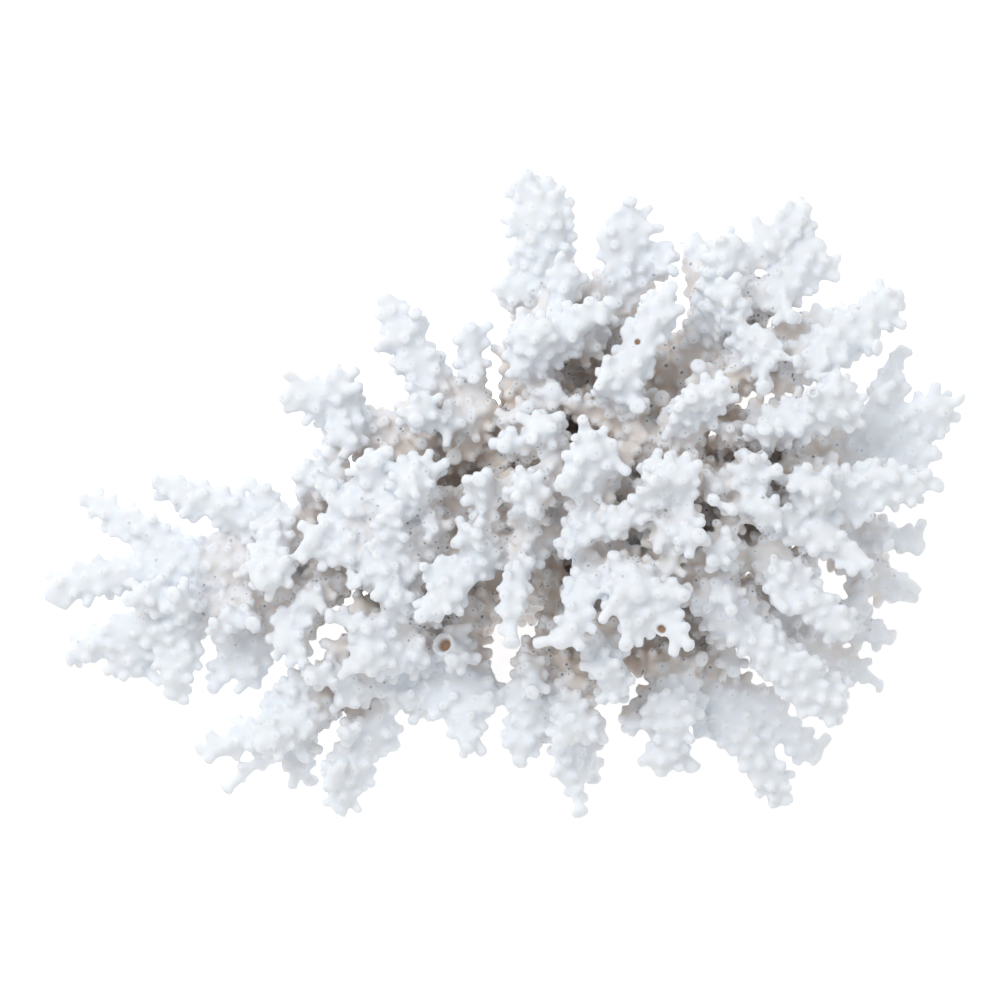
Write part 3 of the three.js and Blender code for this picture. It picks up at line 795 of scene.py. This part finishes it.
def highest_corners(colony):
    """The highest corner of the skin near each of the cups that stand out.

    A corner more than 1.5 mm to the side counts as lower, by four times the rest of the way.
    """
    places = colony["places"]
    corners = []
    for x, y, *_ in WIDE_CUPS:
        away = np.hypot(places[:, 0] - x * MM, places[:, 1] - y * MM)
        corners.append(np.argmax(places[:, 2] - 4 * np.maximum(away - 1.5 * MM, 0)))
    return np.array(corners)


def patches(places):
    """Smooth patches of low and high values over the skin: products of slow sines."""
    x, y, z = places.T / (4.2 * MM)
    return np.sin(x + 0.6 * y + 1.0) * np.sin(y - 0.5 * z + 2.0) + np.sin(z + 0.4 * x) * np.cos(y + x)


def sprinkle(colony, cups, wide, chance):
    """Cup seeds over the skin: the wide cups, the tips, then an even scatter by area.

    Among the scatter, knobs and low cups take turns in patches.
    """
    triangles = triangles_of(colony["quads"])
    a, b, c = (colony["places"][triangles[:, k]] for k in range(3))
    area = np.linalg.norm(np.cross(b - a, c - a), axis=1)
    number = int(area.sum() / cups.spacing**2 * 4)
    pick = chance.choice(len(triangles), number, p=area / area.sum())
    u, v = chance.random((2, number))
    u, v = np.where(u + v > 1, 1 - u, u), np.where(u + v > 1, 1 - v, v)
    weights = np.stack([1 - u - v, u, v], axis=1)
    marked = np.concatenate([wide, colony["tips"]])
    corner = np.concatenate([marked, triangles[pick, np.argmax(weights, axis=1)]])
    places = np.concatenate([
        colony["places"][marked], (colony["places"][triangles[pick]] * weights[:, :, None]).sum(axis=1)
    ])
    order = np.arange(len(places))
    is_wide = order < len(wide)
    is_tip = (order < len(marked)) & ~is_wide
    sheltered = colony["shelter"][corner]
    share = 0.6 + 0.45 * patches(places) + 0.5 * (1 - smooth_step(0.1, 0.3, sheltered))
    is_knob = (chance.random(len(places)) < np.clip(share, 0.06, 0.9)) | is_tip | is_wide
    is_low = ~is_knob & (share < 0.75)
    rank = chance.random(len(places)) + is_knob + is_tip + 2 * is_wide
    under = (colony["normals"][corner][:, 2] < -0.35) & (sheltered > 0.3)
    spacing = np.where(is_knob, cups.knob_spacing, cups.spacing)
    spacing *= 0.92 + 0.2 * chance.random(len(places)) + 0.35 * under
    spacing[is_tip] = 1.35 * cups.knob_spacing
    spacing[is_wide] = [(2 * cup[2] + 1) * MM for cup in WIDE_CUPS]
    kept = even_scatter(places, spacing, rank) & (is_knob | is_low) & (places[:, 2] > 3 * MM)
    return places[kept], corner[kept], is_tip[kept], is_knob[kept], is_wide[kept]


def stand_cups(colony, cups):
    """Every cup's base, heading and sizes, as whole arrays.

    A cup leans from upright towards its branch's tip, and stops short of whatever lies ahead.
    """
    chance = np.random.default_rng(SEED)
    tree = BVHTree.FromPolygons(colony["places"].tolist(), colony["quads"].tolist())
    wide = highest_corners(colony)
    base, corner, is_tip, is_knob, is_wide = sprinkle(colony, cups, wide, chance)
    count = len(base)
    normal = colony["normals"][corner]
    sheltered = colony["shelter"][corner]
    near_tip = 1 - smooth_step(2 * MM, 12 * MM, colony["from_tip"][corner])
    upper = np.clip(normal[:, 2], 0, 1) * (1 - sheltered)

    height = np.where(is_knob, cups.knob_height, cups.height)
    height = height * (0.65 + 0.6 * chance.random(count) - 0.2 * sheltered - 0.5 * upper)
    height[is_tip] = 0.3 * cups.knob_height
    lean = cups.lean * (0.5 + 0.7 * chance.random(count)) * (1 - 0.4 * near_tip)
    lean[is_tip] = 0.1
    radius = np.where(is_knob, cups.knob_radius, cups.radius)
    radius = radius * (0.85 + 0.3 * chance.random(count))
    radius[is_tip] *= 1.5
    mouth = np.where(is_knob, 0.55, 1.0) * cups.mouth * (0.8 + 0.4 * chance.random(count))

    swing = unit(colony["growth"][corner] + 0.35 * chance.normal(size=(count, 3)))
    swing = unit(swing - (swing * normal).sum(axis=1, keepdims=True) * normal)
    heading = np.cos(lean)[:, None] * normal + np.sin(lean)[:, None] * swing
    heading[is_wide] = unit(normal[is_wide] + [0.0, 0.0, 1.0])
    far, lowest = 12 * MM, 0.3 * MM
    ahead = np.array([
        tree.ray_cast(start, way, far)[3] or far
        for start, way in zip(base + 0.4 * MM * normal, heading)
    ])
    height = np.clip(height, lowest, np.maximum(ahead - 1.4 * MM, lowest))
    radius[is_wide], height[is_wide], mouth[is_wide], rust = np.array(WIDE_CUPS).T[2:] * MM
    across = unit(np.cross(swing, heading))
    return {
        "base": base,
        "heading": heading,
        "across": across,
        "beside": np.cross(heading, across),
        "height": height,
        "radius": radius,
        "mouth": mouth,
        "rust": np.concatenate([rust / MM, np.zeros(count - len(rust))]),
        "end": base + height[:, None] * heading,
    }


def cup_stubs(stand, sides):
    """Every cup as a closed stub: four circles along its axis, from under the skin to its end.

    The circles stand at the root, a third of the way up, and two tenths and less than a tenth of
    the cup's width below the end, where the last one draws in to round it over.
    """
    height, radius = stand["height"][:, None], stand["radius"][:, None]
    root = np.full_like(height, -0.8 * MM)
    up = np.concatenate([root, 0.35 * height, height - 0.4 * radius, height - 0.08 * radius], axis=1)
    wide = radius * np.array([1.0, 1.0, 1.02, 0.75])
    rims = circles(stand["across"], stand["beside"], sides)
    axis = stand["base"][:, None] + up[:, :, None] * stand["heading"][:, None]
    spots = axis[:, :, None] + wide[:, :, None, None] * rims[:, None]
    count = len(height)
    points = np.concatenate([
        spots.reshape(count, -1, 3), axis[:, :1], stand["end"][:, None]
    ], axis=1)
    triangles = closed_tube(up.shape[1], sides) + np.arange(count)[:, None, None] * points.shape[1]
    return points.reshape(-1, 3), triangles.reshape(-1, 3)


def set_cups(colony, cups):
    """The finished skin, with every cup fused into it.

    For the surface of the cups each corner knows where it lies across the nearest cup's axis, in
    radii of its mouth, and how near it is to the cup's end: 1 at the end and 0 down on the wall.
    """
    stand = stand_cups(colony, cups)
    skin = (colony["places"], triangles_of(colony["quads"]))
    places, triangles, _ = stacked([skin, cup_stubs(stand, cups.sides)])
    spots, quads = fused(places, triangles, cups.voxel)
    near = Neighbours(quads, len(spots))
    spots = near.polished(spots, cups.rounding)

    ends = KDTree(len(stand["end"]))
    for number, end in enumerate(stand["end"]):
        ends.insert(end, number)
    ends.balance()
    cup = np.array([ends.find(spot)[1] for spot in spots])
    offset = spots - stand["end"][cup]
    drop = -(offset * stand["heading"][cup]).sum(axis=1)
    x = (offset * stand["across"][cup]).sum(axis=1)
    y = (offset * stand["beside"][cup]).sum(axis=1)
    radius = stand["radius"][cup]
    crown = (1 - smooth_step(0.35, 0.9, np.abs(drop) / radius)) * (np.hypot(x, y) < 1.3 * radius)
    mouth = stand["mouth"][cup]
    dent = cups.dent * (mouth / cups.mouth) ** 1.3 * crown * (mouth > 0.7 * cups.mouth)
    dent *= np.clip(1.6 - np.hypot(x, y) / (1.2 * mouth), 0, 1)
    spots = spots - dent[:, None] * stand["heading"][cup]
    spots[:, 2] = np.maximum(spots[:, 2], 0.0)
    normals = vertex_normals(spots, triangles_of(quads))

    tree = BVHTree.FromPolygons(colony["places"].tolist(), colony["quads"].tolist())
    under = colony["quads"][[tree.find_nearest(spot)[2] for spot in spots], 0]
    return {
        "tree": BVHTree.FromPolygons(spots.tolist(), quads.tolist()),
        "places": spots,
        "quads": quads,
        "normals": normals,
        "owner": colony["owner"][under],
        "shelter": near.mean(colony["shelter"][under]),
        "rust": stand["rust"][cup],
        "cup": np.stack([x / mouth, y / mouth, crown], axis=1),
    }


# ---------------------------------------------------------------- the pieces


def caps(places, normals, quads, tree):
    """A fan over an open edge loop, to a middle point drawn inwards, wherever it stays inside.

    A loop whose fan would come out of the skin stays open. The neighbouring piece's skin carries
    on from its edge, so the colony as a whole is closed there.
    """
    edges = np.concatenate([quads[:, [k, (k + 1) % 4]] for k in range(4)])
    code = np.sort(edges, axis=1) @ np.array([len(places), 1])
    _, back, number = np.unique(code, return_inverse=True, return_counts=True)
    rim = edges[number[back.ravel()] == 1]
    label = np.arange(len(places))
    while True:
        lower = label.copy()
        np.minimum.at(lower, rim[:, 0], label[rim[:, 1]])
        np.minimum.at(lower, rim[:, 1], label[rim[:, 0]])
        if np.array_equal(lower, label):
            break
        label = lower
    loops, which = np.unique(label[rim[:, 0]], return_inverse=True)
    which = which.ravel()
    count = np.bincount(which, minlength=len(loops))[:, None]
    middle = gathered(places[rim[:, 0]], which, len(loops)) / np.maximum(count, 1)
    outwards = gathered(normals[rim[:, 0]], which, len(loops)) / np.maximum(count, 1)
    middle -= 1.0 * MM * outwards
    clear = np.ones(len(loops), dtype=bool)
    for part in np.linspace(0.125, 1, 8):
        for spot, loop in zip(places[rim[:, 0]] * (1 - part) + middle[which] * part, which):
            if clear[loop]:
                nearest, normal, _, _ = tree.find_nearest(spot)
                clear[loop] = normal.dot(nearest) - normal.dot(Vector(spot)) > 0.8 * part * MM
    kept = clear[which]
    fans = np.stack([rim[:, 1], rim[:, 0], len(places) + (np.cumsum(clear) - 1)[which]], axis=1)
    return middle[clear], fans[kept]


def new_piece(node, material, finished):
    """The finished piece that stands for one solid: its share of the skin and cups, with caps."""
    owners = np.sort(finished["owner"][finished["quads"]], axis=1)
    quads = finished["quads"][owners[:, 1] == NODES.index(node)]
    used = np.zeros(len(finished["places"]), dtype=bool)
    used[quads] = True
    quads = (np.cumsum(used) - 1)[quads]
    places, normals = finished["places"][used], finished["normals"][used]
    middles, fans = caps(places, normals, quads, finished["tree"])
    mesh = new_mesh(node + "_skeleton", np.vstack([places, middles]), quads, fans)
    inside = len(middles)
    for name in ("shelter", "rust"):
        layer = mesh.attributes.new(name, "FLOAT", "POINT")
        values = np.concatenate([finished[name][used], np.ones(inside)])
        layer.data.foreach_set("value", values.astype(np.float32))
    layer = mesh.attributes.new("cup", "FLOAT_VECTOR", "POINT")
    values = np.vstack([finished["cup"][used], np.tile([9.0, 9.0, 0.0], (inside, 1))])
    layer.data.foreach_set("vector", values.ravel().astype(np.float32))
    mesh.polygons.foreach_set("use_smooth", np.ones(len(mesh.polygons), dtype=bool))
    down = np.tile([0.0, 0.0, -1.0], (inside, 1))
    mesh.normals_split_custom_set_from_vertices(np.vstack([normals, down]).tolist())
    mesh.materials.append(material)
    piece = bpy.data.objects.new(node + "_skeleton", mesh)
    bpy.context.collection.objects.link(piece)
    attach(piece, BODY)
    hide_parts(node)
    return piece


# ---------------------------------------------------------------- materials


def add_node(tree, kind, settings=None, **links):
    """A node with its settings and inputs: an input is a value, or the socket that feeds it."""
    node = tree.nodes.new(kind)
    for name, value in (settings or {}).items():
        setattr(node, name, value)
    for name, value in links.items():
        socket = node.inputs[int(name[1:])] if name[1:].isdigit() else node.inputs[name.replace("_", " ")]
        if isinstance(value, bpy.types.NodeSocket):
            tree.links.new(value, socket)
        else:
            socket.default_value = value
    return node


def aragonite(name, colours, bleach_and_light, stain_and_shade_weight, grain):
    """Coral aragonite: a chalky, porous mineral, whitest on the open tops.

    There it is partly bleached by the sun and partly whitened as painted light. It is dull and
    faintly translucent. Between the branches it turns tan, partly from dirt and partly as painted
    shade in the sheltered hollows. Inside the cups a grey-brown is painted shade in the pores, and a
    few wide cups are rusty inside. Fine pores make the surface look like lump sugar.
    """
    material = bpy.data.materials.new(name)
    material.use_nodes = True
    tree = material.node_tree
    tree.nodes.clear()
    spot = add_node(tree, "ShaderNodeTexCoord").outputs["Object"]
    shelter = add_node(tree, "ShaderNodeAttribute", {"attribute_name": "shelter"}).outputs["Fac"]
    cup = add_node(tree, "ShaderNodeSeparateXYZ", Vector=add_node(
        tree, "ShaderNodeAttribute", {"attribute_name": "cup"}
    ).outputs["Vector"])
    across = add_node(
        tree, "ShaderNodeCombineXYZ", X=cup.outputs["X"], Y=cup.outputs["Y"]
    ).outputs[0]
    away = add_node(
        tree, "ShaderNodeVectorMath", {"operation": "LENGTH"}, Vector=across
    ).outputs["Value"]
    closed = add_node(
        tree, "ShaderNodeMapRange", {"interpolation_type": "SMOOTHSTEP"},
        Value=away, From_Min=0.75, From_Max=1.35, To_Min=1.0, To_Max=0.0,
    ).outputs[0]
    at_end = add_node(
        tree, "ShaderNodeMapRange", {"interpolation_type": "SMOOTHSTEP"},
        Value=cup.outputs["Z"], From_Min=0.35, From_Max=0.7, To_Min=0.0, To_Max=1.0,
    ).outputs[0]
    mouth = add_node(
        tree, "ShaderNodeMath", {"operation": "MULTIPLY"}, _0=closed, _1=at_end
    ).outputs[0]
    blotches = add_node(tree, "ShaderNodeTexNoise", Vector=spot, Scale=1 / (6 * MM), Detail=3.0)
    pores = add_node(tree, "ShaderNodeTexNoise", Vector=spot, Scale=1 / (0.42 * MM), Detail=2.0)

    # Tan mask: the noise blotches are real dirt, the shelter part is painted shade in the crowded, deep
    # hollows.
    blotchy_shelter = add_node(
        tree, "ShaderNodeMath", {"operation": "MULTIPLY_ADD"},
        _0=blotches.outputs["Fac"], _1=0.5, _2=shelter,
    ).outputs[0]
    stain_and_shade_mask = add_node(
        tree, "ShaderNodeMapRange", {"interpolation_type": "SMOOTHSTEP"},
        Value=blotchy_shelter, From_Min=0.4, From_Max=1.1, To_Min=0.0, To_Max=stain_and_shade_weight,
    ).outputs[0]
    # Whiter where the skin lies open, creamier where sheltered: partly bleached by the sun, partly
    # painted light and painted shade.
    sun = add_node(
        tree, "ShaderNodeMapRange", {"interpolation_type": "SMOOTHSTEP"},
        Value=shelter, From_Min=0.1, From_Max=0.6, To_Min=bleach_and_light, To_Max=0.2 * bleach_and_light,
    ).outputs[0]
    pale = add_node(
        tree, "ShaderNodeMix", {"data_type": "RGBA"},
        Factor=sun, _6=linear(colours.cream), _7=linear(colours.bleached),
    ).outputs[2]
    stain_and_shade = add_node(
        tree, "ShaderNodeMix", {"data_type": "RGBA"},
        Factor=stain_and_shade_mask, _6=pale, _7=linear(colours.stain_and_shade),
    ).outputs[2]
    # Painted shade in the pores: strong where the skin is sheltered, faint on the open parts.
    showing = add_node(
        tree, "ShaderNodeMapRange", Value=shelter, From_Min=0.1, From_Max=0.5, To_Min=0.15, To_Max=0.75
    ).outputs[0]
    # Inside the cups: grey-brown painted shade in the pores, turning to real rust in the wide cups.
    rust = add_node(tree, "ShaderNodeAttribute", {"attribute_name": "rust"}).outputs["Fac"]
    either = add_node(tree, "ShaderNodeMath", {"operation": "MAXIMUM"}, _0=showing, _1=rust).outputs[0]
    deep = add_node(tree, "ShaderNodeMath", {"operation": "MULTIPLY"}, _0=mouth, _1=either).outputs[0]
    inside = add_node(
        tree, "ShaderNodeMix", {"data_type": "RGBA"},
        Factor=rust, _6=linear(colours.mouth), _7=linear(colours.rust),
    ).outputs[2]
    # The cup ends are lightened halfway towards the bleached white.
    end_lightening = add_node(tree, "ShaderNodeMath", {"operation": "MULTIPLY"}, _0=at_end, _1=0.5).outputs[0]
    rimmed = add_node(
        tree, "ShaderNodeMix", {"data_type": "RGBA"},
        Factor=end_lightening, _6=stain_and_shade, _7=linear(colours.bleached),
    ).outputs[2]
    hollow = add_node(
        tree, "ShaderNodeMix", {"data_type": "RGBA"}, Factor=deep, _6=rimmed, _7=inside
    ).outputs[2]
    rough = add_node(
        tree, "ShaderNodeBump", Strength=grain, Distance=0.1 * MM, Height=pores.outputs["Fac"]
    ).outputs[0]
    bump = add_node(
        tree, "ShaderNodeBump", {"invert": True},
        Strength=0.9, Distance=0.3 * MM, Height=mouth, Normal=rough,
    ).outputs[0]
    surface = add_node(tree, "ShaderNodeBsdfPrincipled", Base_Color=hollow, Normal=bump)
    surface.inputs["Roughness"].default_value = 0.72
    surface.inputs["IOR"].default_value = 1.53
    surface.inputs["Specular IOR Level"].default_value = 0.3
    surface.inputs["Subsurface Weight"].default_value = 0.6
    surface.inputs["Subsurface Radius"].default_value = (1.0, 0.85, 0.7)
    surface.inputs["Subsurface Scale"].default_value = 2.0 * MM
    add_node(tree, "ShaderNodeOutputMaterial", Surface=surface.outputs[0])
    return material


def lit_opal_board(colours):
    """A plain pale opal board, dull and even, with a little light coming up through it."""
    material = bpy.data.materials.new("lit_opal_board")
    material.use_nodes = True
    surface = material.node_tree.nodes["Principled BSDF"]
    surface.inputs["Base Color"].default_value = linear(colours.floor)
    surface.inputs["Roughness"].default_value = 0.9
    surface.inputs["Emission Color"].default_value = (1.0, 1.0, 1.0, 1.0)
    surface.inputs["Emission Strength"].default_value = 0.4
    return material


# ---------------------------------------------------------------- operators

work = {}  # the finished skin, shared between the operators


def add_pieces(nodes, material):
    """One finished piece for each node, cut from the skin that coral.skin has grown."""
    if "finished" not in work:
        raise RuntimeError("Grow the skin and cups first")
    for node in nodes:
        new_piece(node, material, work["finished"])


class CORAL_OT_skin(bpy.types.Operator):
    """Fuse the solids and twigs into one skin and set it with cups"""

    bl_idname = "coral.skin"
    bl_label = "Grow skin and cups"

    def execute(self, context):
        scene = context.scene
        colony = grow_skin(scene.coral_skin, scene.coral_twigs)
        work["finished"] = set_cups(colony, scene.coral_cups)
        return {"FINISHED"}


class CORAL_OT_foot(bpy.types.Operator):
    """Add the foot, cut off flat"""

    bl_idname = "coral.foot"
    bl_label = "Add foot"

    def execute(self, context):
        colours = context.scene.coral_colours
        # The foot gets little whitening, so it stays creamier: partly painted shade low down.
        sawn = aragonite("sawn_aragonite", colours, bleach_and_light=0.1, stain_and_shade_weight=0.9, grain=0.4)
        add_pieces([FOOT], sawn)
        return {"FINISHED"}


class CORAL_OT_limbs(bpy.types.Operator):
    """Add the limbs that rise out of the foot"""

    bl_idname = "coral.limbs"
    bl_label = "Add limbs"

    def execute(self, context):
        colours = context.scene.coral_colours
        # The limbs get less whitening than the branches: partly painted shade below the canopy.
        sheltered = aragonite("sheltered_aragonite", colours, bleach_and_light=0.4, stain_and_shade_weight=0.9, grain=0.3)
        add_pieces(LIMBS, sheltered)
        return {"FINISHED"}


class CORAL_OT_branches(bpy.types.Operator):
    """Add the branches with their twigs"""

    bl_idname = "coral.branches"
    bl_label = "Add branches"

    def execute(self, context):
        colours = context.scene.coral_colours
        # The branches get the most whitening: partly painted light on the open tops.
        bleached = aragonite("bleached_and_lit_aragonite", colours, bleach_and_light=0.9, stain_and_shade_weight=0.9, grain=0.25)
        add_pieces(BRANCHES, bleached)
        return {"FINISHED"}


class CORAL_OT_stage(bpy.types.Operator):
    """Add the pale floor, the soft studio light and the camera that looks straight down"""

    bl_idname = "coral.stage"
    bl_label = "Add stage"

    def execute(self, context):
        scene = context.scene
        half = 3.0
        corners = half * np.array([[-1, -1, 0], [1, -1, 0], [1, 1, 0], [-1, 1, 0]])
        mesh = new_mesh("floor", corners, np.array([[0, 1, 2, 3]]), np.empty((0, 3), int))
        mesh.materials.append(lit_opal_board(scene.coral_colours))
        floor = bpy.data.objects.new("floor", mesh)
        scene.collection.objects.link(floor)

        for name, spot, power, size in (
            ("key_light", (-0.6, 0.6, 1.25), 10.0, 0.8),
            ("fill_light", (0.9, -0.5, 1.2), 2.0, 1.4),
        ):
            light = bpy.data.lights.new(name, "AREA")
            light.energy = power
            light.size = size
            lamp = bpy.data.objects.new(name, light)
            lamp.location = spot
            lamp.rotation_euler = (-lamp.location).to_track_quat("-Z", "Y").to_euler()
            scene.collection.objects.link(lamp)

        world = bpy.data.worlds.new("studio")
        world.use_nodes = True
        sky = world.node_tree.nodes["Background"]
        sky.inputs["Color"].default_value = (1.0, 1.0, 1.0, 1.0)
        sky.inputs["Strength"].default_value = 0.58
        scene.world = world
        scene.view_settings.view_transform = "Standard"

        # A long lens far above, a little to the left of the foot's middle, looks straight down.
        camera = bpy.data.cameras.new("camera")
        camera.sensor_width = 36.0
        camera.lens = 216.5
        camera.clip_end = 20.0
        eye = bpy.data.objects.new("camera", camera)
        eye.location = (-0.57 * MM, 0.0, 1.4)
        scene.collection.objects.link(eye)
        scene.camera = eye
        return {"FINISHED"}


class CORAL_PT_panel(bpy.types.Panel):
    """The colony's settings and its steps, in the sidebar"""

    bl_idname = "CORAL_PT_panel"
    bl_label = "Coral"
    bl_space_type = "VIEW_3D"
    bl_region_type = "UI"
    bl_category = "Coral"

    def draw(self, context):
        for setting in SETTINGS:
            group = getattr(context.scene, setting)
            box = self.layout.box()
            for name in group.bl_rna.properties.keys():
                if name not in {"rna_type", "name"}:
                    box.prop(group, name)
        for operator in OPERATORS:
            self.layout.operator(operator.bl_idname)


SETTINGS = {
    "coral_skin": SkinSettings,
    "coral_twigs": TwigSettings,
    "coral_cups": CupSettings,
    "coral_colours": ColourSettings,
}
OPERATORS = (CORAL_OT_skin, CORAL_OT_foot, CORAL_OT_limbs, CORAL_OT_branches, CORAL_OT_stage)


def register():
    for cls in (*SETTINGS.values(), *OPERATORS, CORAL_PT_panel):
        bpy.utils.register_class(cls)
    for name, group in SETTINGS.items():
        setattr(bpy.types.Scene, name, bpy.props.PointerProperty(type=group))


def unregister():
    for name in SETTINGS:
        delattr(bpy.types.Scene, name)
    for cls in reversed((*SETTINGS.values(), *OPERATORS, CORAL_PT_panel)):
        bpy.utils.unregister_class(cls)


def main():
    register()
    bpy.ops.coral.skin()
    bpy.ops.coral.foot()
    bpy.ops.coral.limbs()
    bpy.ops.coral.branches()
    bpy.ops.coral.stage()


if __name__ == "__main__":
    main()
